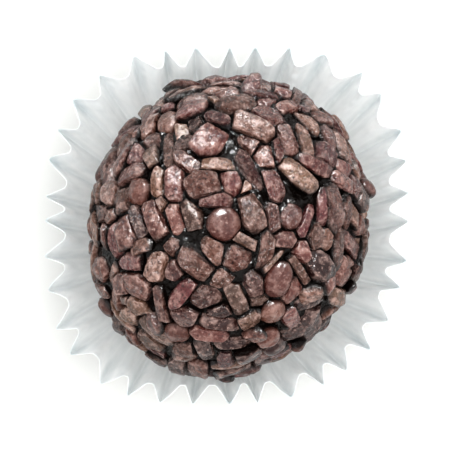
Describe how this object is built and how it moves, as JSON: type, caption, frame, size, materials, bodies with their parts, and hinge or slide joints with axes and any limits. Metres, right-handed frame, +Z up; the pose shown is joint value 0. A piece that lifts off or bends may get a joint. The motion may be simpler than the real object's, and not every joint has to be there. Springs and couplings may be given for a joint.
{
  "type": "chocolate fudge ball in a paper case",
  "caption": "Soft chocolate fudge ball rolled in chocolate granules, served in a fluted white paper case.",
  "frame": {"origin": "centre of the flat underside of the paper case, on the surface that it stands on", "axes": "+Z up through the sweet, +X and +Y towards two sides of the rounded square that the case's rim makes"},
  "size_m": [0.043, 0.0422, 0.0333],
  "materials": {
    "chocolate": "satin",
    "white_paper": "matte"
  },
  "bodies": {
    "root": {"brigadeiro": "chocolate", "paper_case": "white_paper"}
  },
  "joints": []
}
